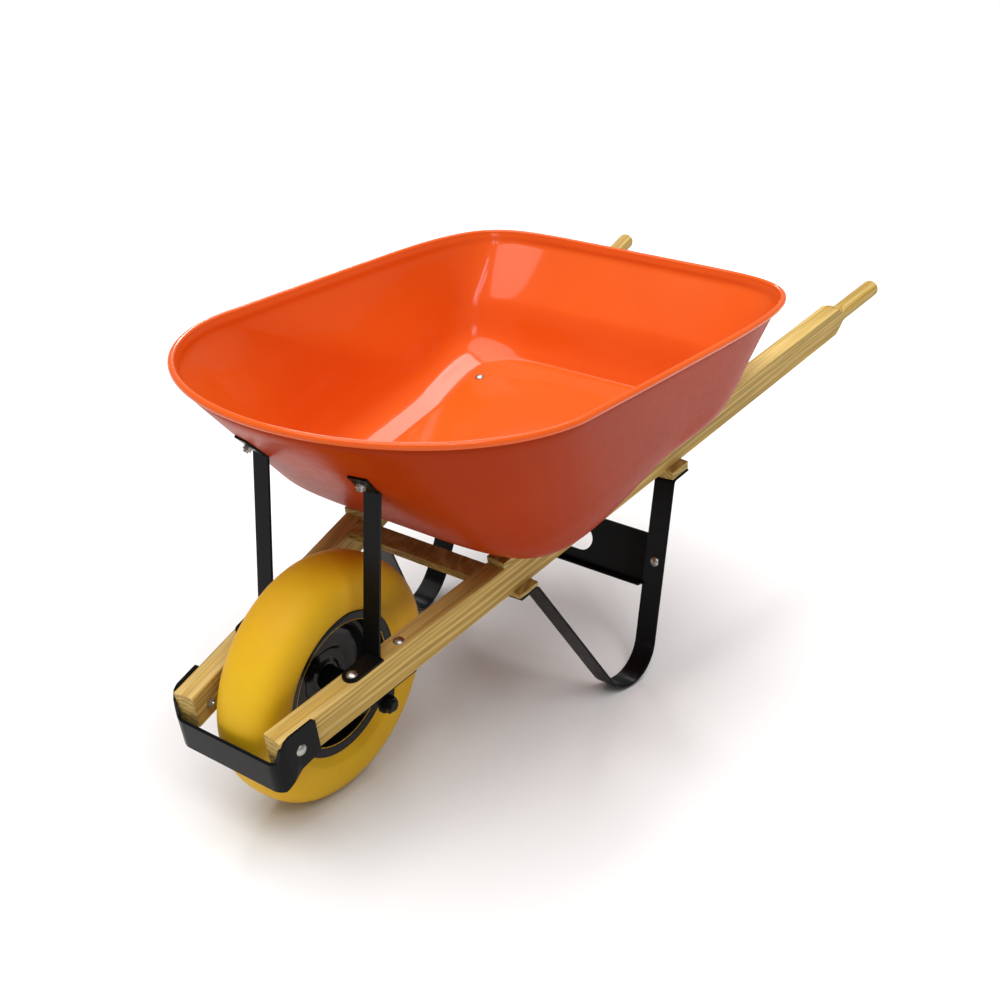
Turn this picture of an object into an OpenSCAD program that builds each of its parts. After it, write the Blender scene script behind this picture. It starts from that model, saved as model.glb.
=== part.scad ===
// Wheelbarrow with a pressed steel tray, two wooden handles and one solid-foam wheel.
// +X points forward to the wheel, +Y to the operator's left, +Z up.
// The origin is on the ground, at the middle of the whole length and width.

/* [Wheel] */
// Tyre outside diameter
tyre_od = 390; // [360:1:410]
// Tyre width at its widest
tyre_w = 106; // [90:1:116]
// Diameter of the rim's outer flange
rim_od = 232; // [215:1:245]
// Distance between the outer lips of the two rim halves
rim_w = 80; // [70:1:86]
// Thickness of the rim's steel
rim_t = 2.5; // [2:0.1:3.5]
// Hub tube outside diameter
hub_od = 38; // [34:1:46]
// Hub tube length
hub_len = 152; // [140:1:160]
// Axle diameter
axle_d = 16; // [12:0.5:18]

/* [Handles] */
// Handle width
handle_w = 35; // [30:1:42]
// Handle height
handle_h = 57; // [48:1:65]
// Handle length from the front end to the tip of the grip
handle_len = 1640; // [1500:1:1750]
// How far the front ends stand ahead of the axle
handle_front = 200; // [190:1:215]
// Half the distance between the handles' centre lines at the axle
handle_y = 110; // [104:1:118]
// Height of the handles' underside above the axle
handle_rise = 22.7; // [20:0.1:28]
// Slope of the handles
slope = 12.84; // [10:0.01:15]
// Angle each handle turns outward towards the grip
splay = 7.17; // [5:0.01:9]
// Grip diameter
grip_d = 34; // [28:1:36]
// Length of the straight round grip
grip_len = 128; // [100:1:150]
// Length of the taper between the square section and the grip
taper_len = 48; // [30:1:70]

/* [Tray] */
// Tray length over the rim
tray_len = 1042; // [960:1:1120]
// Tray width over the rim, across the front of the straight sides
tray_w = 686; // [640:1:730]
// Share by which the sides spread apart towards the rear
tray_spread = 0.07; // [0:0.01:0.1]
// Distance from the axle to the rim's foremost point
tray_front = 145; // [120:1:170]
// Height of the rim at the axle
rim_z = 651; // [630:1:680]
// Rise of the rim towards the rear
rim_tilt = 1.4; // [0:0.1:3]
// Sheet thickness
tray_t = 1.6; // [1.2:0.1:2.5]
// Diameter of the rolled edge
bead_d = 11; // [8:0.5:14]
// Length of the flat of the floor
floor_len = 535; // [500:1:560]
// Width of the flat of the floor, before it spreads towards the rear
floor_w = 410; // [390:1:440]
// Thickness of the wooden risers between the handles and the floor
riser_h = 11; // [8:0.5:18]

/* [Braces and legs] */
// Flat bar thickness
bar_t = 4; // [3:0.5:6]
// Leg bar width
leg_w = 42; // [38:1:46]
// Distance from the axle back to the legs' lowest point
foot_x = 543; // [500:1:570]
// Inside radius of the legs' lower bend
foot_r = 66; // [50:1:76]
// Outward lean of the legs
leg_lean = 8.3; // [0:0.1:9]
// Thickness of the front leg blocks
front_block_h = 10; // [6:0.5:20]
// Thickness of the rear leg blocks
rear_block_h = 18; // [10:0.5:28]
// Tray brace bar width
brace_w = 29; // [24:1:34]
// Distance from the axle forward to the tray braces
brace_x = 13; // [6:1:20]
// Height of the plate between the rear legs
leg_plate_h = 96; // [80:1:110]

/* [Fasteners] */
// Bolt diameter of the tray, legs, guard and brackets
bolt_d = 8; // [6:0.5:10]
// Radial clearance of the bolts in their holes
hole_gap = 0.3; // [0.2:0.05:0.6]
// Radial running clearance between the wheel's bushes and the axle
run_gap = 0.05; // [0.02:0.01:0.1]

/* [Hidden] */
$fn = 48;
SIDES = ["left", "right"];

// Wheel
tyre_r = tyre_od / 2;
rim_r = rim_od / 2;
seat_r = rim_r - 15;
flange_t = rim_t;
bush_wall = 5;
bush_len = 26;
bush_flange = 4;
bore_r = axle_d / 2 + run_gap;
hub_in_r = bore_r + bush_wall;
hub_r = hub_od / 2;
rim_bolt_count = 4;
rim_bolt_ring = 62;
tyre_power = 2.6;
end_gap = 0.3;

// Deck: the plane of the handles' undersides, which runs over the axle at deck_z
deck_z = tyre_r + handle_rise;
handle_back = handle_front - handle_len;
square_back = handle_back + grip_len + taper_len;
axle_p = handle_rise * sin(slope);
axle_n = -handle_rise * cos(slope);

// Tray
rim_half = tray_w / 2;
rim_front_len = 310;
rim_mid_x = tray_front - rim_front_len;
rim_back_len = tray_len - rim_front_len;
rim_corner_power = 6.6;
bead_r = bead_d / 2;
lip_in = bead_d - 2;
lip_drop = 16;
wall_in = 14;
floor_n = handle_h + riser_h;
floor_front = -270;
floor_front_len = 320;
floor_mid = floor_front - floor_front_len;
floor_back_len = floor_len - floor_front_len;
floor_half = floor_w / 2;
floor_front_power = 5.5;
floor_rear_power = 5.2;
floor_spread = 0.14;
// Rings that round the floor into the walls: height, then how far out at sides, front and rear
floor_rings = [[0, 0, 0, 0], [26, 59, 30, 21], [80, 77, 90, 53]];
front_cut = tray_t * 1.6;
side_cut = tray_t * 1.05;
rear_cut = tray_t * 1.25;
outline_n = 72;
bead_sides = 10;

// Wooden cross piece just ahead of the floor, and the risers under it
crossbar_w = 38;
crossbar_h = 13;
crossbar_back = -257;
crossbar_y = handle_y - crossbar_back * tan(splay);
notch = 4;
riser_front = -258;
riser_len = 500;

// Legs, in each handle's own frame
leg_out = 10;
front_flange = [-280, -320];
rear_flange = [-733, -691];
leg_bolt_u = [-300, -716];
foot_mid_r = foot_r + bar_t / 2;
foot_outer_r = foot_r + bar_t;
lean_z = sin(leg_lean) * cos(slope) - cos(leg_lean) * sin(splay) * sin(slope);
foot_z = foot_outer_r * sqrt(1 - lean_z * lean_z) + leg_w / 2 * abs(lean_z);
foot_p = -foot_x * cos(slope) - (foot_z - deck_z) * sin(slope);
foot_h = -foot_x * sin(slope) + (foot_z - deck_z) * cos(slope);
foot_n = foot_h / cos(leg_lean);
foot_v = leg_out - foot_n * sin(leg_lean);
foot_u = (foot_p - foot_v * sin(splay)) / cos(splay);
front_n = -front_block_h - bar_t / 2;
rear_n = -rear_block_h - bar_t / 2;
bend_steps = 18;

// Plate between the rear legs
plate_t = 3;
plate_lip = 16;
plate_drop = 104;
plate_tab = 32;
plate_edge = 3;
plate_hole_w = 176;
plate_hole_h = 46;

// Axle, brackets and guard
bracket_len = 118;
bracket_w = 31;
bracket_t = 3;
bracket_bolt = 47;
ear_t = 4;
ear_gap = 17;
ear_r = 16;
ear_in = handle_y - ear_gap / 2 - ear_t;
axle_nut_h = 10;
axle_nut_d = 27;
axle_half = handle_y + ear_gap / 2 + ear_t + axle_nut_h + 4;
guard_t = 4;
guard_r = 22;
guard_stand = 9;
guard_side = 50;
guard_top = 60;
guard_bar_top = 19;
guard_bar_low = -32;
guard_bolt_u = 170;
guard_bolt_n = 24;
guard_in = handle_front * cos(splay) + handle_w / 2 * sin(splay) + guard_stand;
guard_v = handle_w / 2 - guard_r;
guard_u = (guard_in - guard_r - guard_v * sin(splay)) / cos(splay);

// Tray braces
brace_bolt_y = handle_y * cos(splay) - bracket_bolt * sin(splay);
brace_reach = 21;
brace_tab_end = 20;
brace_foot_end = 1;

// Fasteners
bolt_r = bolt_d / 2;
nut_d = bolt_d * 1.85;
nut_h = bolt_d * 0.85;
head_r = bolt_d * 1.15;
head_h = bolt_d * 0.5;
thread_gap = 0.1;
thread_end = 3;

// The middle of the whole length
tip_n = handle_h / 2;
tip_x = handle_back * cos(splay) * cos(slope) + tip_n * sin(slope) - grip_d / 2 * sin(slope);
nose_x = (guard_in + guard_t) * cos(slope) + guard_bar_top * sin(slope);
mid_x = (tip_x + nose_x) / 2;

// ---- Frames ----

module mirrored(side) mirror([0, side == "left" ? 0 : 1, 0]) children();

module both() {
    mirrored("left") children();
    mirrored("right") children();
}

module whole() translate([-mid_x, 0, 0]) children();

module deck() translate([0, 0, deck_z]) rotate([0, slope, 0]) children();

module handle_frame() deck() translate([0, handle_y, 0]) rotate([0, 0, -splay]) children();

module leg_frame() handle_frame() translate([0, leg_out, 0]) rotate([leg_lean, 0, 0]) children();

module rim_frame() translate([0, 0, rim_z]) rotate([0, rim_tilt, 0]) children();

// Turns a shape drawn in X and Z into a bar of width w, centred on Y = 0
module across(w) rotate([90, 0, 0]) translate([0, 0, -w / 2]) linear_extrude(w) children();

// ---- Shared shapes ----

// Directions along and across a line of points, at its point i
function run_dir(points, i) = (points[i + 1] - points[i]) / norm(points[i + 1] - points[i]);
function left_of(d) = [-d[1], d[0]];

// The point h to the left of a line of points at its point i, with mitred corners
function beside(points, i, h) =
    let (
        last = len(points) - 1,
        a = left_of(run_dir(points, max(i - 1, 0))),
        b = left_of(run_dir(points, min(i, last - 1)))
    )
    points[i] + (a + b) * h / (1 + a * b);

// A flat bar seen from its edge: runs of thickness t between points
module strip(points, t) {
    last = len(points) - 1;
    polygon(concat(
        [for (i = [0 : last]) beside(points, i, t / 2)],
        [for (i = [last : -1 : 0]) beside(points, i, -t / 2)]));
}

// Carriage bolt: the head's underside is at z = 0 and the shank runs down
module carriage_bolt(d, len) {
    rotate_extrude()
        intersection() {
            translate([0, head_h - head_r * 1.3]) circle(r = head_r * 1.3, $fn = 60);
            square([head_r, head_h]);
        }
    translate([0, 0, -len]) cylinder(d = d, h = len + head_h / 2);
}

// Hexagon nut on top of z = 0
module hex_nut(d, h, thread) {
    difference() {
        cylinder(d = d, h = h, $fn = 6);
        translate([0, 0, -1]) cylinder(r = thread / 2 + thread_gap, h = h + 2);
    }
}

module bolt_hole(d, from, to) translate([0, 0, from]) cylinder(r = d / 2 + hole_gap, h = to - from);

// ---- Wheel, round the Y axis through the axle ----

module wheel_frame() translate([0, 0, tyre_r]) rotate([-90, 0, 0]) children();

// Half of the tyre's section above its middle radius: a rounded box of radius power
function tyre_crown() =
    let (mid_r = seat_r + (tyre_r - seat_r) * 0.52)
    [for (i = [0 : 30])
        let (a = -25 + i * 230 / 30, c = cos(a), s = sin(a))
        [mid_r + (tyre_r - mid_r) * sign(s) * pow(abs(s), 2 / tyre_power),
         tyre_w / 2 * sign(c) * pow(abs(c), 2 / tyre_power)]];

module tyre() {
    side = rim_w / 2 - flange_t;
    color([0.93, 0.72, 0.16])
        whole() wheel_frame()
            rotate_extrude($fn = 96)
                polygon(concat(
                    [[seat_r, side], [rim_r, side]],
                    tyre_crown(),
                    [[rim_r, -side], [seat_r, -side]]));
}

// One pressed half: disc, seat for the tyre and outer flange
module rim_half(s) {
    half = rim_w / 2;
    color([0.06, 0.06, 0.065])
        whole() wheel_frame() mirror([0, 0, s])
            difference() {
                rotate_extrude($fn = 96)
                    polygon([
                        [hub_r, 0], [seat_r, 0], [seat_r, half - flange_t],
                        [rim_r, half - flange_t], [rim_r, half], [seat_r - rim_t, half],
                        [seat_r - rim_t, rim_t], [hub_r, rim_t]]);
                for (i = [0 : rim_bolt_count - 1])
                    rotate(i * 360 / rim_bolt_count)
                        translate([rim_bolt_ring, 0, -1])
                            cylinder(r = bolt_r + hole_gap, h = rim_t + 2);
            }
}

module rim_left() rim_half(0);
module rim_right() rim_half(1);

module hub() {
    color([0.07, 0.07, 0.075])
        whole() wheel_frame()
            difference() {
                translate([0, 0, -hub_len / 2]) cylinder(r = hub_r, h = hub_len);
                translate([0, 0, -hub_len / 2 - 1]) cylinder(r = hub_in_r, h = hub_len + 2);
            }
}

module bush(side) {
    color([0.55, 0.5, 0.42])
        whole() mirrored(side) wheel_frame()
            difference() {
                union() {
                    translate([0, 0, hub_len / 2 - bush_len]) cylinder(r = hub_in_r, h = bush_len);
                    translate([0, 0, hub_len / 2]) cylinder(r = hub_r - 1, h = bush_flange);
                }
                translate([0, 0, hub_len / 2 - bush_len - 1])
                    cylinder(r = bore_r, h = bush_len + bush_flange + 2);
            }
}

module bush_left() bush("left");
module bush_right() bush("right");

module rim_bolts() {
    color([0.75, 0.75, 0.76])
        whole() wheel_frame()
            for (i = [0 : rim_bolt_count - 1])
                rotate(i * 360 / rim_bolt_count)
                    translate([rim_bolt_ring, 0, rim_t])
                        carriage_bolt(bolt_d, 2 * rim_t + nut_h + thread_end);
}

module rim_nuts() {
    color([0.75, 0.75, 0.76])
        whole() wheel_frame()
            for (i = [0 : rim_bolt_count - 1])
                rotate(i * 360 / rim_bolt_count)
                    translate([rim_bolt_ring, 0, -rim_t - nut_h])
                        hex_nut(nut_d, nut_h, bolt_d);
}

// ---- Axle and its brackets ----

module axle() {
    color([0.7, 0.7, 0.72])
        whole() wheel_frame()
            translate([0, 0, -axle_half]) cylinder(d = axle_d, h = 2 * axle_half);
}

module axle_nuts() {
    color([0.75, 0.75, 0.76])
        whole() both() wheel_frame()
            translate([0, 0, handle_y + ear_gap / 2 + ear_t])
                hex_nut(axle_nut_d, axle_nut_h, axle_d);
}

module spacer(side) {
    from = hub_len / 2 + bush_flange + end_gap;
    color([0.6, 0.6, 0.62])
        whole() mirrored(side) wheel_frame()
            difference() {
                translate([0, 0, from]) cylinder(r = axle_d / 2 + 4, h = ear_in - from);
                translate([0, 0, from - 1])
                    cylinder(r = axle_d / 2 + thread_gap, h = ear_in - from + 2);
            }
}

module spacer_left() spacer("left");
module spacer_right() spacer("right");

module bracket_ear() {
    translate([axle_p, axle_n]) circle(r = ear_r);
    polygon([
        [axle_p - ear_r - 6, -bracket_t / 2], [axle_p + ear_r + 6, -bracket_t / 2],
        [axle_p + ear_r, axle_n], [axle_p - ear_r, axle_n]]);
}

module axle_bracket(side) {
    color([0.08, 0.08, 0.085])
        whole() mirrored(side)
            difference() {
                union() {
                    handle_frame()
                        translate([-bracket_len / 2, -bracket_w / 2, -bracket_t])
                            cube([bracket_len, bracket_w, bracket_t]);
                    for (s = [-1, 1])
                        deck()
                            translate([0, handle_y + s * (ear_gap + ear_t) / 2, 0])
                                across(ear_t) bracket_ear();
                }
                wheel_frame() cylinder(r = axle_d / 2 + thread_gap, h = 2 * handle_y);
                bracket_bolt_holes();
            }
}

module axle_bracket_left() axle_bracket("left");
module axle_bracket_right() axle_bracket("right");

module bracket_bolt_holes() {
    handle_frame()
        for (u = [-bracket_bolt, bracket_bolt])
            translate([u, 0, 0]) bolt_hole(bolt_d, -bracket_t - 1, handle_h + bar_t + 1);
}

module bracket_bolts() {
    color([0.75, 0.75, 0.76])
        whole() both() handle_frame()
            for (u = [-bracket_bolt, bracket_bolt]) {
                seat = handle_h + (u > 0 ? bar_t : 0);
                translate([u, 0, seat])
                    carriage_bolt(bolt_d, seat + bracket_t + nut_h + thread_end);
            }
}

module bracket_nuts() {
    color([0.75, 0.75, 0.76])
        whole() both() handle_frame()
            for (u = [-bracket_bolt, bracket_bolt])
                translate([u, 0, -bracket_t - nut_h]) hex_nut(nut_d, nut_h, bolt_d);
}

// ---- Handles ----

module handle(side) {
    color([0.86, 0.74, 0.5])
        whole() mirrored(side)
            difference() {
                handle_frame() {
                    translate([square_back, -handle_w / 2, 0])
                        cube([handle_front - square_back, handle_w, handle_h]);
                    hull() {
                        translate([square_back, -handle_w / 2, 0])
                            cube([0.01, handle_w, handle_h]);
                        translate([square_back - taper_len, 0, tip_n])
                            rotate([0, 90, 0]) cylinder(d = grip_d, h = 0.01, $fn = 32);
                    }
                    translate([handle_back, 0, tip_n]) rotate([0, 90, 0]) grip();
                }
                crossbar_body();
                bracket_bolt_holes();
                tray_bolt_holes();
                guard_bolt_holes();
                handle_frame() translate([guard_u, guard_v, -1]) linear_extrude(handle_h + 2)
                    guard_corner();
            }
}

// What the guard's bend takes off the handle's outer front corner
module guard_corner() {
    difference() {
        square(guard_r * 1.5);
        circle(r = guard_r - 0.2, $fn = 64);
    }
}

module handle_left() handle("left");
module handle_right() handle("right");

// Round grip with an eased end at z = 0
module grip() {
    rotate_extrude() {
        ease = grip_d * 0.24;
        translate([grip_d / 2 - ease, ease]) circle(r = ease, $fn = 40);
        square([grip_d / 2 - ease, ease]);
        translate([0, ease]) square([grip_d / 2, grip_len - ease]);
    }
}

// ---- Wood between the handles and under the tray ----

module crossbar_body() {
    deck()
        translate([crossbar_back, 0, handle_h - crossbar_h])
            linear_extrude(crossbar_h)
                polygon([
                    [0, crossbar_end(crossbar_back)],
                    [crossbar_w, crossbar_end(crossbar_back + crossbar_w)],
                    [crossbar_w, -crossbar_end(crossbar_back + crossbar_w)],
                    [0, -crossbar_end(crossbar_back)]]);
}

// Half the cross piece's length at p, where it is let into the handles
function crossbar_end(p) = handle_y - p * tan(splay) - handle_w / 2 / cos(splay) + notch;

module crossbar() color([0.86, 0.76, 0.55]) whole() crossbar_body();

module riser(side) {
    front_u = riser_front / cos(splay) - handle_w / 2 * tan(splay);
    color([0.84, 0.72, 0.48])
        whole() mirrored(side)
            difference() {
                handle_frame()
                    translate([front_u - riser_len, -handle_w / 2, handle_h])
                        cube([riser_len, handle_w, riser_h]);
                tray_bolt_holes();
            }
}

module riser_left() riser("left");
module riser_right() riser("right");

// ---- Guard round the handles' front ends ----

// A point of the handle's frame, in the deck's
function handle_point(u, v) =
    [u * cos(splay) + v * sin(splay), handle_y - u * sin(splay) + v * cos(splay)];

// Half of the strip's middle line seen from above: along the handle, round the bend
guard_half =
    let (c = handle_point(guard_u, guard_v), steps = 9)
    concat(
        [handle_point(guard_u - guard_side - 10, (handle_w + guard_t) / 2)],
        [for (i = [0 : steps]) polar(c, guard_r + guard_t / 2, (90 - splay) * (1 - i / steps))]);

module guard_plan() {
    last = len(guard_half) - 1;
    strip(
        concat(guard_half, [for (i = [last : -1 : 0]) [guard_half[i][0], -guard_half[i][1]]]),
        guard_t);
}

// The strip seen from the side: high along the handles, lower across the front
module guard_profile() {
    back = guard_u - guard_side;
    polygon([
        [back, -2], [back + 36, -8], [guard_in - 12, -24], [guard_in - 4, guard_bar_low],
        [guard_in + guard_t + 1, guard_bar_low], [guard_in + guard_t + 1, guard_bar_top],
        [guard_in - 2, guard_bar_top + 4], [guard_in - 7, guard_top - 16],
        [guard_in - 15, guard_top - 4], [guard_in - 24, guard_top], [back + 4, guard_top],
        [back, guard_top - 4]]);
}

module nose_guard() {
    height = guard_top - guard_bar_low + 2;
    color([0.07, 0.07, 0.075])
        whole()
            difference() {
                deck() intersection() {
                    translate([0, 0, guard_bar_low - 1]) linear_extrude(height) guard_plan();
                    across(3 * handle_y) guard_profile();
                }
                both() guard_bolt_holes();
            }
}

module guard_bolt_frame()
    handle_frame() translate([guard_bolt_u, handle_w / 2 + guard_t, guard_bolt_n])
        rotate([-90, 0, 0]) children();

module guard_bolt_holes() guard_bolt_frame() bolt_hole(bolt_d, -handle_w - guard_t - 1, 1);

module guard_bolts() {
    color([0.78, 0.78, 0.78])
        whole() both() guard_bolt_frame()
            carriage_bolt(bolt_d, handle_w + guard_t + nut_h + thread_end);
}

module guard_nuts() {
    color([0.78, 0.78, 0.78])
        whole() both() guard_bolt_frame()
            translate([0, 0, -handle_w - guard_t - nut_h]) hex_nut(nut_d, nut_h, bolt_d);
}

// ---- Legs ----

function polar(c, r, a) = c + r * [cos(a), sin(a)];

// Direction from c of the point where a line from p touches the circle of radius r round c
function touch(c, r, p, turn) =
    let (d = p - c)
    atan2(d[1], d[0]) + turn * acos(r / norm(d));

// The bar's middle line: front flange, front upright, lower bend, rear upright, rear flange
foot_c = [foot_u, foot_n];
bend_from = touch(foot_c, foot_mid_r, [front_flange[1], front_n], -1);
bend_to = touch(foot_c, foot_mid_r, [rear_flange[1], rear_n], 1) - 360;

function leg_path() =
    concat(
        [[front_flange[0], front_n], [front_flange[1], front_n]],
        [for (i = [0 : bend_steps])
            polar(foot_c, foot_mid_r, bend_from + (bend_to - bend_from) * i / bend_steps)],
        [[rear_flange[1], rear_n], [rear_flange[0], rear_n]]);

module leg(side) {
    color([0.07, 0.07, 0.075])
        whole() mirrored(side)
            difference() {
                leg_frame() across(leg_w) strip(leg_path(), bar_t);
                tray_bolt_holes();
                plate_bolt_holes();
            }
}

module leg_left() leg("left");
module leg_right() leg("right");

// Wooden block between a handle and a leg's flange, cut to the flange's lean
module leg_block(side, flange, h) {
    front = max(flange) + 2;
    back = min(flange) - 2;
    color([0.84, 0.72, 0.47])
        whole() mirrored(side)
            difference() {
                handle_frame()
                    translate([back, leg_out - leg_w / 2, -h - 10])
                        cube([front - back, leg_w, h + 10]);
                leg_frame()
                    translate([back - 50, -leg_w, -h - 40])
                        cube([front - back + 100, 2 * leg_w, 40]);
                tray_bolt_holes();
            }
}

module leg_block_front_left() leg_block("left", front_flange, front_block_h);
module leg_block_front_right() leg_block("right", front_flange, front_block_h);
module leg_block_rear_left() leg_block("left", rear_flange, rear_block_h);
module leg_block_rear_right() leg_block("right", rear_flange, rear_block_h);

// ---- Plate between the rear legs ----

// The rear upright's line, from its top bend down to the foot
function upright() = [[rear_flange[1], rear_n], polar(foot_c, foot_mid_r, bend_to)];

function upright_dir() = let (q = upright()) (q[1] - q[0]) / norm(q[1] - q[0]);

// A point of the upright's rear face, s below the bend, at v across the bar, in the whole object
function rear_face(s, v, out) =
    let (
        q = upright()[0] + upright_dir() * s + (bar_t / 2 + out) * [upright_dir()[1], -upright_dir()[0]],
        hv = leg_out + v * cos(leg_lean) - q[1] * sin(leg_lean),
        hn = v * sin(leg_lean) + q[1] * cos(leg_lean),
        p = q[0] * cos(splay) + hv * sin(splay),
        y = handle_y - q[0] * sin(splay) + hv * cos(splay)
    )
    [p * cos(slope) + hn * sin(slope), y, deck_z - p * sin(slope) + hn * cos(slope)];

// Frame on the upright's rear face: z points out of the face, x down the bar
module upright_frame() {
    d = upright_dir();
    leg_frame()
        translate([upright()[0][0], 0, upright()[0][1]])
            rotate([0, -atan2(d[1], d[0]), 0])
                translate([0, 0, -bar_t / 2])
                    mirror([0, 0, 1]) children();
}

module plate_tab_shape() {
    translate([plate_drop, -leg_w / 2 - plate_edge, 0])
        cube([leg_plate_h, plate_tab + plate_edge, plate_t]);
}

module leg_plate() {
    a = rear_face(plate_drop, -leg_w / 2 - plate_edge, 0);
    b = rear_face(plate_drop + leg_plate_h, -leg_w / 2 - plate_edge, 0);
    lean = atan2(a[0] - b[0], a[2] - b[2]);
    run = norm([a[0] - b[0], a[2] - b[2]]);
    color([0.07, 0.07, 0.075])
        whole()
            difference() {
                union() {
                    both() upright_frame() plate_tab_shape();
                    translate([b[0], 0, b[2]]) rotate([0, lean, 0]) {
                        rotate([90, 0, -90]) linear_extrude(plate_t)
                            difference() {
                                polygon([
                                    [-b[1] - 1, 0], [b[1] + 1, 0], [a[1] + 1, run], [-a[1] - 1, run]]);
                                plate_opening(run / 2);
                            }
                        translate([-plate_t, -b[1], 0]) cube([plate_lip + plate_t, 2 * b[1], plate_t]);
                    }
                }
                both() plate_bolt_holes();
            }
}

// Long hole with round ends, centred at height h
module plate_opening(h) {
    reach = (plate_hole_w - plate_hole_h) / 2;
    translate([-reach, h - plate_hole_h / 2]) square([2 * reach, plate_hole_h]);
    for (s = [-1, 1])
        translate([s * reach, h]) circle(d = plate_hole_h);
}

module plate_bolt_frame()
    upright_frame() translate([plate_drop + leg_plate_h / 2, 0, -bar_t]) rotate([180, 0, 0]) children();

module plate_bolt_holes() plate_bolt_frame() bolt_hole(bolt_d, -bar_t - plate_t - 1, 1);

module leg_plate_bolts() {
    color([0.78, 0.78, 0.78])
        whole() both() plate_bolt_frame() carriage_bolt(bolt_d, bar_t + plate_t + nut_h + thread_end);
}

module leg_plate_nuts() {
    color([0.78, 0.78, 0.78])
        whole() both() plate_bolt_frame()
            translate([0, 0, -bar_t - plate_t - nut_h]) hex_nut(nut_d, nut_h, bolt_d);
}

// ---- Tray ----

function bent(v, power) = sign(v) * pow(abs(v), 2 / power);

// Rim outline moved in by a distance, with its own one at the front and the rear
function rim_outline(side, front, rear) =
    [for (i = [0 : outline_n - 1])
        let (
            a = 360 * i / outline_n, c = cos(a), s = sin(a),
            back = rim_back_len - rear,
            x = c > 0 ? (rim_front_len - front) * c : back * bent(c, rim_corner_power),
            y = (rim_half - side) * (c > 0 ? s : bent(s, rim_corner_power))
        )
        [rim_mid_x + x, y * (1 + tray_spread * max(0, -x / back))]];

// Floor outline moved out by a distance at the sides, the front and the rear
function floor_outline(side, front, rear) =
    [for (i = [0 : outline_n - 1])
        let (
            a = 360 * i / outline_n, c = cos(a), s = sin(a),
            power = c > 0 ? floor_front_power : floor_rear_power,
            back = floor_back_len + rear,
            x = (c > 0 ? floor_front_len + front : back) * bent(c, power),
            y = (floor_half + side) * bent(s, power)
        )
        [floor_mid + x, y * (1 + floor_spread * max(0, -x / back))]];

// The tray as a solid block, made smaller all round by cut (0 or 1) times its wall for its inside
module tray_block(cut) {
    hull() {
        for (ring = floor_rings)
            deck() translate([0, 0, floor_n + ring[0] + cut * tray_t])
                linear_extrude(0.01)
                    polygon(floor_outline(
                        ring[1] - cut * side_cut, ring[2] - cut * front_cut, ring[3] - cut * rear_cut));
        rim_frame() translate([0, 0, -lip_drop + cut * 0.1])
            linear_extrude(0.01)
                polygon(rim_outline(
                    wall_in + cut * side_cut, wall_in + cut * front_cut, wall_in + cut * rear_cut));
    }
}

// The flared strip between the walls and the rolled edge
module rim_lip(cut) {
    hull() {
        for (ring = [[-lip_drop - cut * 0.1, wall_in], [cut * 0.1, lip_in]])
            rim_frame() translate([0, 0, ring[0]])
                linear_extrude(0.01)
                    polygon(rim_outline(
                        ring[1] + cut * side_cut, ring[1] + cut * front_cut, ring[1] + cut * rear_cut));
    }
}

// Rolled edge: a round bead that follows the rim
module rim_bead() {
    line = rim_outline(bead_r, bead_r, bead_r);
    rings = [for (i = [0 : outline_n - 1])
        let (
            ahead = line[(i + 1) % outline_n] - line[(i + outline_n - 1) % outline_n],
            out = [ahead[1], -ahead[0]] / norm(ahead)
        )
        for (j = [0 : bead_sides - 1])
            let (a = 360 * j / bead_sides)
            [line[i][0] + out[0] * bead_r * cos(a), line[i][1] + out[1] * bead_r * cos(a),
             bead_r * sin(a)]];
    faces = [for (i = [0 : outline_n - 1]) for (j = [0 : bead_sides - 1])
        let (i2 = (i + 1) % outline_n, j2 = (j + 1) % bead_sides)
        [i * bead_sides + j, i * bead_sides + j2, i2 * bead_sides + j2, i2 * bead_sides + j]];
    rim_frame() polyhedron(rings, faces);
}

module tray() {
    color([0.93, 0.36, 0.14])
        whole()
            difference() {
                union() {
                    difference() {
                        tray_block(0);
                        tray_block(1);
                    }
                    difference() {
                        rim_lip(0);
                        rim_lip(1);
                    }
                    rim_bead();
                }
                both() tray_bolt_holes();
                both() brace_bolt_hole();
            }
}

module tray_bolt_holes() {
    handle_frame()
        for (u = leg_bolt_u)
            translate([u, 0, 0]) bolt_hole(bolt_d, -rear_block_h - 20, floor_n + tray_t + 1);
}

// Height of a leaning flange's underside, v out from the handle's middle, under a block of height h
function flange_low(h, v) =
    let (n = -h - bar_t, w = (v - leg_out + n * sin(leg_lean)) / cos(leg_lean))
    w * sin(leg_lean) + n * cos(leg_lean);

// How far below the handle each leg bolt's nut begins
function nut_seat(i) = 0.1 - flange_low(i == 0 ? front_block_h : rear_block_h, -nut_d / 2);

module tray_bolts() {
    color([0.78, 0.78, 0.78])
        whole() both() handle_frame()
            for (i = [0, 1])
                translate([leg_bolt_u[i], 0, floor_n + tray_t])
                    carriage_bolt(bolt_d, floor_n + tray_t + nut_seat(i) + nut_h + thread_end);
}

module tray_nuts() {
    color([0.78, 0.78, 0.78])
        whole() both() handle_frame()
            for (i = [0, 1])
                translate([leg_bolt_u[i], 0, -nut_seat(i) - nut_h]) hex_nut(nut_d, nut_h, bolt_d);
}

// ---- Braces from the handles to the tray's front wall ----

// Plan angle of the front wall where the rim's outline has the parameter a
function wall_angle(a) = atan((rim_front_len - wall_in) / (rim_half - wall_in) * tan(a));

// The rim's and the floor's points whose outlines run the same way there
function wall_top(a) =
    let (
        x = rim_mid_x + (rim_front_len - wall_in) * cos(a),
        y = (rim_half - wall_in) * sin(a)
    )
    [x * cos(rim_tilt) - lip_drop * sin(rim_tilt), y,
     rim_z - x * sin(rim_tilt) - lip_drop * cos(rim_tilt)];

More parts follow.
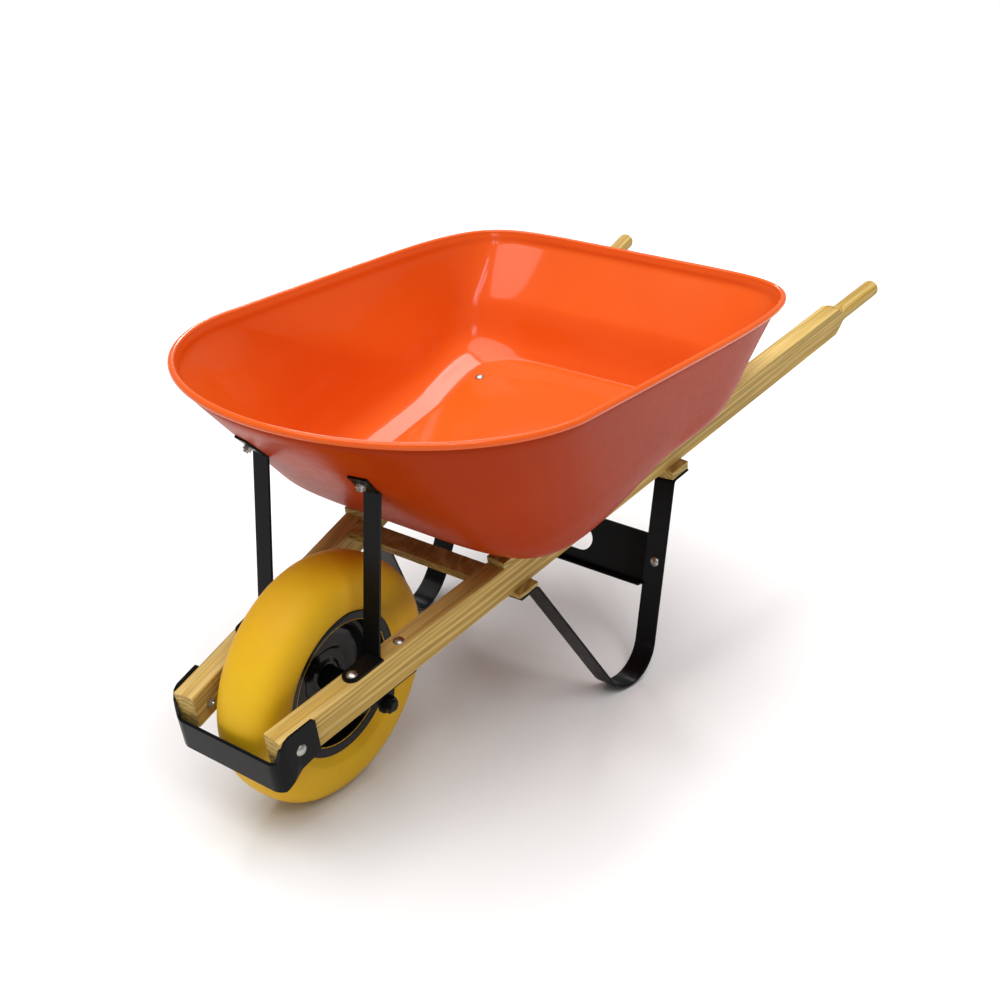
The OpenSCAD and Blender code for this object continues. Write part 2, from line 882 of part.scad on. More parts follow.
function wall_foot(a) =
    let (
        ring = floor_rings[len(floor_rings) - 1],
        len_x = floor_front_len + ring[2],
        half = floor_half + ring[1],
        power = floor_front_power,
        t = atan(pow(tan(wall_angle(a)) * half / len_x, 1 / (2 - 2 / power))),
        p = floor_mid + len_x * bent(cos(t), power),
        y = half * bent(sin(t), power),
        n = floor_n + ring[0]
    )
    [p * cos(slope) + n * sin(slope), y, deck_z - p * sin(slope) + n * cos(slope)];

function wall_point(a, f) = wall_foot(a) + (wall_top(a) - wall_foot(a)) * f;

// The rim parameter at which the wall, at fraction f of its height, is y from the middle
function wall_param(y, f, low = 0.5, high = 60, n = 24) =
    n == 0 ? (low + high) / 2
    : let (mid = (low + high) / 2)
      wall_point(mid, f)[1] < y ? wall_param(y, f, mid, high, n - 1) : wall_param(y, f, low, mid, n - 1);

// The fraction of the wall's height at which it stands at x, y from the middle
function wall_height(x, y, low = 0.05, high = 0.95, n = 20) =
    n == 0 ? (low + high) / 2
    : let (mid = (low + high) / 2)
      wall_point(wall_param(y, mid), mid)[0] < x ? wall_height(x, y, mid, high, n - 1)
      : wall_height(x, y, low, mid, n - 1);

brace_seat = wall_height(brace_x + brace_reach, brace_bolt_y);
brace_a = wall_param(brace_bolt_y, brace_seat);
brace_point = wall_point(brace_a, brace_seat);
brace_rise = wall_top(brace_a) - wall_foot(brace_a);
brace_turn = wall_angle(brace_a);
brace_flat = brace_rise[0] * cos(brace_turn) + brace_rise[1] * sin(brace_turn);
brace_tilt = atan2(brace_flat, brace_rise[2]) - 90;

// Frame on the wall's outside: x points up the wall, z into the tray
module wall_frame()
    translate(brace_point)
        rotate([0, 0, brace_turn])
            rotate([0, brace_tilt, 0])
                children();

module brace(side) {
    tab_back = brace_reach / sin(-brace_tilt) / cos(brace_turn);
    foot_back = (brace_x - bar_t / 2 - handle_h * sin(slope)) / cos(slope) - brace_foot_end;
    color([0.07, 0.07, 0.075])
        whole() mirrored(side)
            difference() {
                union() {
                    handle_frame()
                        translate([foot_back, -brace_w / 2, handle_h])
                            cube([bracket_bolt - foot_back, brace_w, bar_t]);
                    handle_frame()
                        translate([bracket_bolt, 0, handle_h]) cylinder(d = brace_w, h = bar_t);
                    difference() {
                        translate([brace_x - bar_t / 2, brace_bolt_y - brace_w / 2, deck_z])
                            cube([bar_t, brace_w, rim_z - deck_z]);
                        deck() translate([-200, 0, handle_h - 400]) cube([400, 2 * handle_y, 400]);
                        wall_frame() translate([-200, -200, -bar_t / 2]) cube([400, 400, 400]);
                    }
                    wall_frame()
                        translate([-tab_back, -brace_w / 2, -bar_t])
                            cube([tab_back + brace_tab_end, brace_w, bar_t - end_gap]);
                }
                bracket_bolt_holes();
                brace_bolt_hole();
            }
}

module brace_left() brace("left");
module brace_right() brace("right");

// The hole, and the flat pressed round it that the bolt's head sits on
module brace_bolt_hole() {
    wall_frame() bolt_hole(bolt_d, -bar_t - 1, tray_t + 3);
    wall_frame() translate([0, 0, tray_t]) cylinder(r = head_r + 0.5, h = head_h);
}

module brace_bolts() {
    color([0.78, 0.78, 0.78])
        whole() both() wall_frame() translate([0, 0, tray_t])
            carriage_bolt(bolt_d, tray_t + bar_t + nut_h + thread_end);
}

module brace_nuts() {
    color([0.78, 0.78, 0.78])
        whole() both() wall_frame() translate([0, 0, -bar_t - nut_h]) hex_nut(nut_d, nut_h, bolt_d);
}

tray();
handle_left();
handle_right();
riser_left();
riser_right();
crossbar();
nose_guard();
tyre();
rim_left();
rim_right();
hub();
bush_left();
bush_right();
axle();
spacer_left();
spacer_right();
axle_bracket_left();
axle_bracket_right();
brace_left();
brace_right();
leg_left();
leg_right();
leg_plate();
leg_block_front_left();
leg_block_front_right();
leg_block_rear_left();
leg_block_rear_right();
tray_bolts();
tray_nuts();
brace_bolts();
brace_nuts();
bracket_bolts();
bracket_nuts();
guard_bolts();
guard_nuts();
leg_plate_bolts();
leg_plate_nuts();
rim_bolts();
rim_nuts();
axle_nuts();
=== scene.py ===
"""Wheelbarrow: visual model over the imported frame. Lengths are in millimetres until mesh()."""
import math

import bpy
from mathutils import Matrix, Vector


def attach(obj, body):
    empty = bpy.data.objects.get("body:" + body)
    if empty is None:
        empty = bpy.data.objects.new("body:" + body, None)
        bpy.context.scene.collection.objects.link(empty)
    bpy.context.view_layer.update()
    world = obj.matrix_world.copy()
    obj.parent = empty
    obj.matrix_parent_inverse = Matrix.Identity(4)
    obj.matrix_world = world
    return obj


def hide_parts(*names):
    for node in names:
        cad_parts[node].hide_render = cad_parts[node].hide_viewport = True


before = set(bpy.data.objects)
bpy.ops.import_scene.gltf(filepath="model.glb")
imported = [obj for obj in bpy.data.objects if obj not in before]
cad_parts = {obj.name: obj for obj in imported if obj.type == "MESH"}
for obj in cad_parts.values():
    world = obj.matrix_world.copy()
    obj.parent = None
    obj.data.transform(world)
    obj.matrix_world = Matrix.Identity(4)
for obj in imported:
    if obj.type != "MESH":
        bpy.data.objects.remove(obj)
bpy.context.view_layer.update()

MM = 0.001
sin = lambda a: math.sin(math.radians(a))
cos = lambda a: math.cos(math.radians(a))

# ---- Sizes, as in the part ----
MID_X = -588.978
TYRE_R, TYRE_W, RIM_R, RIM_W = 195.0, 106.0, 116.0, 80.0
SLOPE, SPLAY, DECK_Z = 12.84, 7.17, 217.7
HANDLE_W, HANDLE_H, HANDLE_Y = 35.0, 57.0, 110.0
HANDLE_FRONT, HANDLE_BACK = 200.0, -1440.0
GRIP_R, GRIP_LEN, TAPER = 17.0, 128.0, 48.0
RIM_Z, RIM_TILT, RIM_MID, RIM_HALF = 651.0, 1.4, -165.0, 343.0
RIM_FRONT, RIM_BACK, RIM_POWER, SPREAD = 310.0, 732.0, 6.6, 0.07
BEAD_R, WALL_IN, LIP_DROP = 5.5, 14.0, 16.0
FLOOR_N, FLOOR_MID, FLOOR_FRONT, FLOOR_BACK, FLOOR_HALF = 68.0, -590.0, 320.0, 215.0, 205.0
FLOOR_POWER, FLOOR_REAR_POWER, FLOOR_SPREAD = 5.5, 5.2, 0.14
RINGS = [(0, 0, 0, 0), (26, 59, 30, 21), (80, 77, 90, 53)]
BAR_T, LEG_W, LEG_OUT, LEG_LEAN, FOOT_R, FOOT_X = 4.0, 42.0, 10.0, 8.3, 66.0, 543.0
EASE = 0.5  # how far carried-over edges are eased

# ---- Frames ----
def shift(x, y, z):
    return Matrix.Translation((x * MM, y * MM, z * MM))


def turn(angle, axis):
    return Matrix.Rotation(math.radians(angle), 4, axis)


WHOLE = shift(-MID_X, 0, 0)
DECK = WHOLE @ shift(0, 0, DECK_Z) @ turn(SLOPE, "Y")
HANDLE = DECK @ shift(0, HANDLE_Y, 0) @ turn(-SPLAY, "Z")
LEG = HANDLE @ shift(0, LEG_OUT, 0) @ turn(LEG_LEAN, "X")
WHEEL = WHOLE @ shift(0, 0, TYRE_R) @ turn(-90, "X")
RIM = WHOLE @ shift(0, 0, RIM_Z) @ turn(RIM_TILT, "Y")
FLIP = Matrix.Diagonal((1, -1, 1, 1))

# ---- Materials ----
def material(name):
    m = bpy.data.materials.new(name)
    m.use_nodes = True
    nodes, links = m.node_tree.nodes, m.node_tree.links
    return m, nodes, links, nodes["Principled BSDF"]


def noise(nodes, links, source, scale, detail=4.0, stretch=None, rough=0.55):
    """A noise texture in object space, in metres, stretched along its axes."""
    n = nodes.new("ShaderNodeTexNoise")
    n.inputs["Scale"].default_value = scale
    n.inputs["Detail"].default_value = detail
    n.inputs["Roughness"].default_value = rough
    if stretch:
        m = nodes.new("ShaderNodeMapping")
        m.inputs["Scale"].default_value = stretch
        links.new(source, m.inputs["Vector"])
        source = m.outputs["Vector"]
    links.new(source, n.inputs["Vector"])
    return n


def ramp(nodes, links, source, stops):
    r = nodes.new("ShaderNodeValToRGB")
    e = r.color_ramp.elements
    while len(e) < len(stops):
        e.new(0.5)
    for item, (at, colour) in zip(e, stops):
        item.position = at
        item.color = (*colour, 1) if len(colour) == 3 else colour
    links.new(source, r.inputs["Fac"])
    return r


def bump(nodes, links, source, shader, strength, distance):
    b = nodes.new("ShaderNodeBump")
    b.inputs["Strength"].default_value = strength
    b.inputs["Distance"].default_value = distance
    links.new(source, b.inputs["Height"])
    links.new(b.outputs["Normal"], shader.inputs["Normal"])
    return b


def grey(v):
    return (v, v, v)


def paint(name, base, darker, rough, coat, peel, shine=0.3):
    """Sprayed gloss paint: slight colour drift, orange peel, a clear gloss."""
    m, nodes, links, s = material(name)
    where = nodes.new("ShaderNodeTexCoord").outputs["Object"]
    drift = noise(nodes, links, where, 4.0, 3.0)
    tint = ramp(nodes, links, drift.outputs["Fac"], [(0.3, darker), (0.7, base)])
    links.new(tint.outputs["Color"], s.inputs["Base Color"])
    wear = noise(nodes, links, where, 60.0, 5.0)
    dull = ramp(nodes, links, wear.outputs["Fac"], [(0.3, grey(rough * 0.9)), (0.75, grey(rough * 1.15))])
    links.new(dull.outputs["Color"], s.inputs["Roughness"])
    s.inputs["Coat Weight"].default_value = coat
    s.inputs["Coat Roughness"].default_value = 0.06
    s.inputs["Specular IOR Level"].default_value = shine
    skin = noise(nodes, links, where, 420.0, 2.0)
    bump(nodes, links, skin.outputs["Fac"], s, peel, 0.0003)
    return m


def wood(name, pale, mid, dark, seed):
    """Pine with its grain along local X."""
    m, nodes, links, s = material(name)
    where = nodes.new("ShaderNodeTexCoord").outputs["Object"]
    place = nodes.new("ShaderNodeMapping")
    place.inputs["Location"].default_value = (seed * 0.37, seed * 0.013, seed * 0.011)
    place.inputs["Scale"].default_value = (0.7, 16.0, 16.0)
    links.new(where, place.inputs["Vector"])
    warp = noise(nodes, links, place.outputs["Vector"], 1.3, 3.0)
    soft = tuple(0.82 * a + 0.18 * b for a, b in zip(mid, dark))
    rings = nodes.new("ShaderNodeTexWave")
    rings.wave_type = "RINGS"
    rings.rings_direction = "X"
    rings.inputs["Scale"].default_value = 2.3
    rings.inputs["Distortion"].default_value = 7.0
    rings.inputs["Detail"].default_value = 4.0
    rings.inputs["Detail Scale"].default_value = 0.9
    links.new(place.outputs["Vector"], rings.inputs["Vector"])
    grain = ramp(nodes, links, rings.outputs["Fac"], [(0.0, pale), (0.6, mid), (0.94, soft), (1.0, mid)])
    pores = noise(nodes, links, where, 190.0, 4.0, (0.035, 1.0, 1.0))
    streak = ramp(nodes, links, pores.outputs["Fac"], [(0.36, grey(0.66)), (0.58, grey(1.0))])
    mix = nodes.new("ShaderNodeMixRGB")
    mix.blend_type = "MULTIPLY"
    mix.inputs["Fac"].default_value = 0.85
    links.new(grain.outputs["Color"], mix.inputs["Color1"])
    links.new(streak.outputs["Color"], mix.inputs["Color2"])
    patch = ramp(nodes, links, warp.outputs["Fac"], [(0.3, grey(0.86)), (0.7, grey(1.06))])
    tone = nodes.new("ShaderNodeMixRGB")
    tone.blend_type = "MULTIPLY"
    tone.inputs["Fac"].default_value = 0.8
    links.new(mix.outputs["Color"], tone.inputs["Color1"])
    links.new(patch.outputs["Color"], tone.inputs["Color2"])
    links.new(tone.outputs["Color"], s.inputs["Base Color"])
    dull = ramp(nodes, links, pores.outputs["Fac"], [(0.3, grey(0.62)), (0.7, grey(0.46))])
    links.new(dull.outputs["Color"], s.inputs["Roughness"])
    s.inputs["Coat Weight"].default_value = 0.04
    s.inputs["Coat Roughness"].default_value = 0.35
    s.inputs["Specular IOR Level"].default_value = 0.15
    bump(nodes, links, pores.outputs["Fac"], s, 0.25, 0.0005)
    return m


def metal(name, base, rough):
    m, nodes, links, s = material(name)
    where = nodes.new("ShaderNodeTexCoord").outputs["Object"]
    s.inputs["Metallic"].default_value = 1.0
    cloud = noise(nodes, links, where, 90.0, 4.0)
    tint = ramp(nodes, links, cloud.outputs["Fac"], [(0.3, tuple(c * 0.8 for c in base)), (0.7, base)])
    links.new(tint.outputs["Color"], s.inputs["Base Color"])
    dull = ramp(nodes, links, cloud.outputs["Fac"], [(0.3, grey(rough * 1.3)), (0.7, grey(rough * 0.8))])
    links.new(dull.outputs["Color"], s.inputs["Roughness"])
    bump(nodes, links, cloud.outputs["Fac"], s, 0.1, 0.0003)
    return m


def foam(name, base, darker):
    """Moulded polyurethane tyre skin."""
    m, nodes, links, s = material(name)
    where = nodes.new("ShaderNodeTexCoord").outputs["Object"]
    drift = noise(nodes, links, where, 7.0, 4.0)
    tint = ramp(nodes, links, drift.outputs["Fac"], [(0.3, darker), (0.68, base)])
    links.new(tint.outputs["Color"], s.inputs["Base Color"])
    fine = noise(nodes, links, where, 900.0, 3.0)
    dull = ramp(nodes, links, fine.outputs["Fac"], [(0.3, grey(0.5)), (0.7, grey(0.62))])
    links.new(dull.outputs["Color"], s.inputs["Roughness"])
    s.inputs["Specular IOR Level"].default_value = 0.2
    s.inputs["Subsurface Weight"].default_value = 0.08
    s.inputs["Subsurface Radius"].default_value = (0.01, 0.006, 0.002)
    bump(nodes, links, fine.outputs["Fac"], s, 0.15, 0.0004)
    return m


def plastic(name, base):
    m, nodes, links, s = material(name)
    where = nodes.new("ShaderNodeTexCoord").outputs["Object"]
    fine = noise(nodes, links, where, 500.0, 3.0)
    tint = ramp(nodes, links, fine.outputs["Fac"], [(0.3, tuple(c * 0.9 for c in base)), (0.7, base)])
    links.new(tint.outputs["Color"], s.inputs["Base Color"])
    s.inputs["Roughness"].default_value = 0.5
    bump(nodes, links, fine.outputs["Fac"], s, 0.1, 0.0003)
    return m


ORANGE = paint("tray_paint", (0.76, 0.106, 0.009), (0.71, 0.092, 0.007), 0.24, 0.34, 0.004, 0.08)
# Darker copy of the same tray paint for the outer faces: painted shade standing in for the dimmer light on
# the outside and underside of the tray
ORANGE_PAINTED_SHADE = paint("tray_paint_outside_painted_shade", (0.38, 0.035, 0.002), (0.33, 0.029, 0.0015), 0.36, 0.05, 0.004, 0.03)
BLACK = paint("black_paint", (0.004, 0.004, 0.0043), (0.003, 0.003, 0.0032), 0.3, 0.02, 0.08, 0.09)
RIM_BLACK = paint("rim_black", (0.004, 0.004, 0.0045), (0.003, 0.003, 0.0033), 0.2, 0.22, 0.03, 0.12)
ZINC = metal("zinc", (0.46, 0.45, 0.42), 0.36)
FOAM = foam("tyre_foam", (0.71, 0.42, 0.010), (0.66, 0.335, 0.008))
NYLON = plastic("nylon", (0.6, 0.56, 0.48))
WOODS = {
    "handle_left": wood("wood_a", (0.66, 0.46, 0.15), (0.52, 0.33, 0.075), (0.27, 0.145, 0.022), 1),
    "handle_right": wood("wood_b", (0.68, 0.48, 0.17), (0.54, 0.35, 0.090), (0.29, 0.160, 0.028), 2),
    "crossbar": wood("wood_c", (0.58, 0.41, 0.15), (0.47, 0.31, 0.085), (0.27, 0.150, 0.035), 3),
    "blocks": wood("wood_d", (0.58, 0.42, 0.15), (0.47, 0.31, 0.080), (0.27, 0.150, 0.030), 4),
}

# ---- Mesh building ----
def mesh(name, verts, faces, where, mat, body="frame", stands=(), slot=None, mirror=False, sharp=32):
    """An object from points in millimetres in a frame, or its mirror image across the object's middle."""
    if mirror:
        verts = [(x, -y, z) for x, y, z in verts]
        faces = [tuple(reversed(f)) for f in faces]
        where = FLIP @ where @ FLIP
    me = bpy.data.meshes.new(name)
    me.from_pydata([(x * MM, y * MM, z * MM) for x, y, z in verts], [], faces)
    me.validate()
    me.update()
    ob = bpy.data.objects.new(name, me)
    bpy.context.scene.collection.objects.link(ob)
    ob.matrix_world = where
    me.materials.append(mat)
    for p in me.polygons:
        p.use_smooth = True
    me.set_sharp_from_angle(angle=math.radians(sharp))
    bpy.context.view_layer.update()
    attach(ob, body)
    if stands:
        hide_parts(*stands)
    return ob


def bevel(ob, width, segments=2, angle=30):
    b = ob.modifiers.new("edge", "BEVEL")
    b.width = width * MM
    b.segments = segments
    b.limit_method = "ANGLE"
    b.angle_limit = math.radians(angle)
    b.harden_normals = False
    return b


def flatten_shading(ob):
    """Keeps wide flat faces evenly shaded beside their rounded edges."""
    ob.modifiers.new("flat", "WEIGHTED_NORMAL").keep_sharp = True


def thicken(ob, t):
    s = ob.modifiers.new("sheet", "SOLIDIFY")
    s.thickness = t * MM
    s.offset = 0.0
    s.use_even_offset = True


def loft(rings, closed=True, caps=True):
    """Quads between rings of equal length. closed: each ring joins up with itself."""
    n = len(rings[0])
    verts = [p for r in rings for p in r]
    faces = []
    for i in range(len(rings) - 1):
        for j in range(n if closed else n - 1):
            k = (j + 1) % n
            faces.append((i * n + j, i * n + k, (i + 1) * n + k, (i + 1) * n + j))
    if caps:
        faces.append(tuple(reversed(range(n))))
        faces.append(tuple(range((len(rings) - 1) * n, len(rings) * n)))
    return verts, faces


def revolve(profile, n=128, joined=False):
    """A profile of (radius, height) turned round Z; a radius of 0 makes a point."""
    verts, index, faces = [], [], []
    for r, z in profile:
        if r < 1e-6:
            index.append([len(verts)] * n)
            verts.append((0, 0, z))
        else:
            index.append(list(range(len(verts), len(verts) + n)))
            verts += [(r * cos(360 * i / n), r * sin(360 * i / n), z) for i in range(n)]
    count = len(profile)
    for a in range(count if joined else count - 1):
        ia, ib = index[a], index[(a + 1) % count]
        for i in range(n):
            k = (i + 1) % n
            f = [ia[i], ia[k], ib[k], ib[i]]
            f = [v for j, v in enumerate(f) if v not in f[:j]]
            if len(f) > 2:
                faces.append(tuple(reversed(f)))
    return verts, faces


def round_line(points, radius, steps=8):
    """A 2D line of points with each inner corner rounded."""
    out = [points[0]]
    for a, b, c in zip(points, points[1:], points[2:]):
        a, b, c = Vector(a), Vector(b), Vector(c)
        u, v = (a - b), (c - b)
        half = u.angle(v) / 2
        cut = min(radius / math.tan(half), u.length * 0.49, v.length * 0.49)
        p, q = b + u.normalized() * cut, b + v.normalized() * cut
        for i in range(steps + 1):
            t = i / steps
            out.append(tuple(p * (1 - t) ** 2 + b * 2 * t * (1 - t) + q * t * t))
    out.append(points[-1])
    return out


def sheet_section(line, t):
    """A 2D line of points made into the closed outline of a sheet of thickness t."""
    every = [Vector(p) for p in line]
    pts = [p for i, p in enumerate(every) if not i or (p - every[i - 1]).length > 0.05]
    one, two = [], []
    for i, p in enumerate(pts):
        a = (p - pts[i - 1]).normalized() if i else (pts[1] - p).normalized()
        b = (pts[i + 1] - p).normalized() if i < len(pts) - 1 else a
        d = (a + b).normalized()
        n = Vector((-d.y, d.x)) * (t / 2 / max(0.6, d.dot(a)))
        one.append(tuple(p + n))
        two.append(tuple(p - n))
    return one + two[::-1]


def bar_section(w, t, r=1.1, steps=3):
    """A flat bar's rounded section: (across the width, across the thickness)."""
    out = []
    for cx, cy, a0 in ((w / 2 - r, t / 2 - r, 0), (r - w / 2, t / 2 - r, 90), (r - w / 2, r - t / 2, 180),
                       (w / 2 - r, r - t / 2, 270)):
        for i in range(steps + 1):
            a = a0 + 90 * i / steps
            out.append((cx + r * cos(a), cy + r * sin(a)))
    return out


def sweep_bar(stations, t, r=1.1):
    """A flat bar through stations of (point, width direction, normal, width)."""
    rings = []
    for p, across, normal, w in stations:
        rings.append([tuple(p + across * a + normal * b) for a, b in bar_section(w, t, r)])
    return loft(rings)


def flat_bar(line, w, t, r=1.1):
    """A bar of width w along Y that follows a line of (x, z) points."""
    pts = [Vector(p) for p in line]
    stations = []
    for i, p in enumerate(pts):
        a = (pts[i] - pts[i - 1]).normalized() if i else (pts[1] - pts[0]).normalized()
        b = (pts[i + 1] - pts[i]).normalized() if i < len(pts) - 1 else a
        d = (a + b).normalized()
        grow = 1 / max(0.3, d.dot(a))
        stations.append((Vector((p.x, 0, p.y)), Vector((0, 1, 0)), Vector((-d.y, 0, d.x)) * grow, w))
    return sweep_bar(stations, t, r)


def both(name, make, **more):
    """The left piece and its mirror image; make gives (verts, faces)."""
    verts, faces = make
    out = []
    for side in ("left", "right"):
        stands = [s.replace("SIDE", side) for s in more.get("stands", ())]
        keep = {k: v for k, v in more.items() if k != "stands"}
        out.append(mesh(f"{name}_{side}", verts, faces, stands=stands, mirror=side == "right", **keep))
    return out


# ---- Tray ----
def bent(v, power):
    return math.copysign(abs(v) ** (2 / power), v)


def turns(per_quarter=40):
    """Angles round an outline, closer together where it crosses the axes."""
    out = []
    for q in range(4):
        for i in range(per_quarter):
            t = i / per_quarter
            out.append(90 * (q + t * t * (3 - 2 * t)))
    return out


ANGLES = turns()


def rim_line(inset, drop=0.0):
    out = []
    for a in ANGLES:
        c, s = cos(a), sin(a)
        back = RIM_BACK - inset
        x = (RIM_FRONT - inset) * c if c > 0 else back * bent(c, RIM_POWER)
        y = (RIM_HALF - inset) * (s if c > 0 else bent(s, RIM_POWER))
        y *= 1 + SPREAD * max(0.0, -x / back)
        out.append(Vector((RIM_MID + x, y, -drop)))
    return out


def floor_line(up, side, front, rear):
    out = []
    for a in ANGLES:
        c, s = cos(a), sin(a)
        power = FLOOR_POWER if c > 0 else FLOOR_REAR_POWER
        back = FLOOR_BACK + rear
        x = (FLOOR_FRONT + front if c > 0 else back) * bent(c, power)
        y = (FLOOR_HALF + side) * bent(s, power) * (1 + FLOOR_SPREAD * max(0.0, -x / back))
        out.append(Vector((FLOOR_MID + x, y, FLOOR_N + up)))
    return out


def in_whole(frame_m, points):
    back = WHOLE.inverted() @ frame_m
    return [(back @ (p * MM)) / MM for p in points]


def spline(columns, steps):
    """Quadratic B-spline through each column's control points, as rings."""
    rings = [columns[0]]
    for k in range(1, len(columns) - 1):
        for i in range(steps[k - 1] + (1 if k == len(columns) - 2 else 0)):
            t = i / steps[k - 1]
            ring = []
            for a, b, c in zip(columns[k - 1], columns[k], columns[k + 1]):
                p = (a + b) / 2 if k > 1 else a
                q = (b + c) / 2 if k < len(columns) - 2 else c
                ring.append(p * (1 - t) ** 2 + b * 2 * t * (1 - t) + q * t * t)
            rings.append(ring)
    return rings[1:]


def build_tray():
    floor = in_whole(DECK, floor_line(0, 0, 0, 0))
    mid = sum(floor, Vector()) / len(floor)
    rings = [[mid + (p - mid) * s for p in floor] for s in (0.02, 0.3, 0.6, 0.8)]
    rings_up = [in_whole(DECK, floor_line(*r)) for r in RINGS]
    wall_top = in_whole(RIM, rim_line(WALL_IN, LIP_DROP))
    low = [a.lerp(b, 0.18) for a, b in zip(rings_up[2], wall_top)]
    high = [a.lerp(b, 0.9) for a, b in zip(rings_up[2], wall_top)]
    base = rim_line(BEAD_R)
    outward = []
    for i, p in enumerate(base):
        d = base[(i + 1) % len(base)] - base[i - 1]
        outward.append(Vector((d.y, -d.x, 0)).normalized())
    r = BEAD_R - 0.8
    lip = in_whole(RIM, [p - o * (r + 3.2) + Vector((0, 0, -6.5)) for p, o in zip(base, outward)])
    curl = []
    for k in range(17):
        a = 180 - 320 * k / 16
        ring = [p + o * r * cos(a) + Vector((0, 0, r * sin(a))) for p, o in zip(base, outward)]
        curl.append(in_whole(RIM, ring))
    start = [mid + (p - mid) * 0.9 for p in floor]
    near = [a.lerp(b, 0.72) for a, b in zip(start, rings_up[0])]
    past = [a.lerp(b, 0.3) for a, b in zip(rings_up[0], rings_up[1])]
    rings += spline(
        [start, near, rings_up[0], past, rings_up[1], rings_up[2], low, high, wall_top, lip, curl[0]],
        [4, 5, 5, 5, 6, 6, 8, 4, 6])
    rings += curl[1:]
    verts, faces = loft([[tuple(p) for p in ring] for ring in rings], caps=False)
    faces.append(tuple(reversed(range(len(ANGLES)))))
    # Outer faces get the painted-shade copy of the tray paint; the inner faces (material offset) get the true
    # paint colour
    ob = mesh("tray_shell", verts, faces, WHOLE, ORANGE_PAINTED_SHADE, stands=["tray"], slot="tray_paint", sharp=60)
    thicken(ob, 1.6)
    ob.data.materials.append(ORANGE)
    ob.modifiers["sheet"].material_offset = 1
    ob.modifiers["sheet"].material_offset_rim = 1
    return ob


build_tray()

# ---- Wheel ----
def super_section(r_in, r_out, half, power, n=40):
    """The tyre's outline from one rim flange to the other."""
    mid = r_in + (r_out - r_in) * 0.52
    out = []
    for i in range(n + 1):
        a = -25 + 230 * i / n
        c, s = cos(a), sin(a)
        out.append((mid + (r_out - mid) * bent(s, power), half * bent(c, power)))
    return out


seat = RIM_R - 15
side = RIM_W / 2 - 2.6
profile = [(seat + 0.5, side), (RIM_R + 0.5, side)] + super_section(seat, TYRE_R, TYRE_W / 2, 2.6) + [
    (RIM_R + 0.5, -side), (seat + 0.5, -side)]
v, f = revolve(profile, 192, joined=True)
mesh("tyre_moulding", v, f, WHEEL, FOAM, body="wheel", stands=["tyre"], slot="tyre_foam", sharp=50)

for name, s in (("left", 1), ("right", -1)):
    half = RIM_W / 2
    line = [(19.2, 0.2), (19.2, 7), (24, 6.2), (30, 3.2), (36, 2.6), (44, 3.0), (50, 6.4),
            (56, 7.6), (70, 7.6), (76, 6.6), (84, 3.2), (90, 3.0), (96, 4.6), (98.6, 9), (99.2, 18), (99.6, 30), (101, 35),
            (104, 37.9), (110, 38.3), (114, 38.4), (116.2, 39.4), (116.6, 40.6), (115.6, 41.6), (114, 41.4)]
    line = [(r, min(z, half - 0.75)) for r, z in line[:-3]] + [(115.2, half - 0.75)]
    shell = sheet_section(round_line(line, 2.5, 3), 1.4)
    v, f = revolve([(r, s * z) for r, z in shell], 160, joined=True)
    if s < 0:
        f = [tuple(reversed(q)) for q in f]
    ob = mesh(f"rim_disc_{name}", v, f, WHEEL, RIM_BLACK, body="wheel", stands=[f"rim_{name}"],
              slot="black_paint", sharp=60)


# ---- Handles ----
def board_section(w, h, r, n=6):
    out = []
    for cy, cz, a0 in ((w / 2 - r, h / 2 - r, 0), (r - w / 2, h / 2 - r, 90), (r - w / 2, r - h / 2, 180),
                       (w / 2 - r, r - h / 2, 270)):
        out += [(cy + r * cos(a0 + 90 * i / n), cz + r * sin(a0 + 90 * i / n)) for i in range(n + 1)]
    return out


def handle_mesh():
    rings = []
    mid = HANDLE_H / 2

    def add(u, w, h, r):
        rings.append([(u, y, mid + z) for y, z in board_section(w, h, r)])

    add(HANDLE_FRONT, HANDLE_W - 4, HANDLE_H - 2, 2)
    add(HANDLE_FRONT - 0.8, HANDLE_W - 1.6, HANDLE_H - 0.6, 2.4)
    add(HANDLE_FRONT - 2.2, HANDLE_W, HANDLE_H, 2.6)
    grip_from = HANDLE_BACK + GRIP_LEN
    for u in range(160, int(grip_from + TAPER), -40):
        add(u, HANDLE_W, HANDLE_H, 2.6)
    for i in range(13):
        t = i / 12
        e = t * t * (3 - 2 * t)
        w = HANDLE_W + (2 * GRIP_R - HANDLE_W) * e
        h = HANDLE_H + (2 * GRIP_R - HANDLE_H) * e
        corner = 2.6 + (GRIP_R - 0.02 - 2.6) * min(1, e * 1.25) * min(w, h) / 34.0
        add(grip_from + TAPER * (1 - t), w, h, corner if e < 1 else GRIP_R - 0.02)
    for u in (grip_from - 30, grip_from - 60, grip_from - 90):
        add(u, 2 * GRIP_R, 2 * GRIP_R, GRIP_R - 0.02)
    ease = 8.0
    for i in range(8):
        a = 90 * i / 7
        r = GRIP_R - ease + ease * cos(a)
        add(HANDLE_BACK + ease - ease * sin(a), 2 * r, 2 * r, r - 0.02)
    return loft([list(reversed(r)) for r in rings])


v, f = handle_mesh()
for name in ("left", "right"):
    flatten_shading(mesh(
        f"handle_wood_{name}", v, f, HANDLE, WOODS["handle_" + name], stands=["handle_" + name],
        slot="wood", mirror=name == "right", sharp=50))


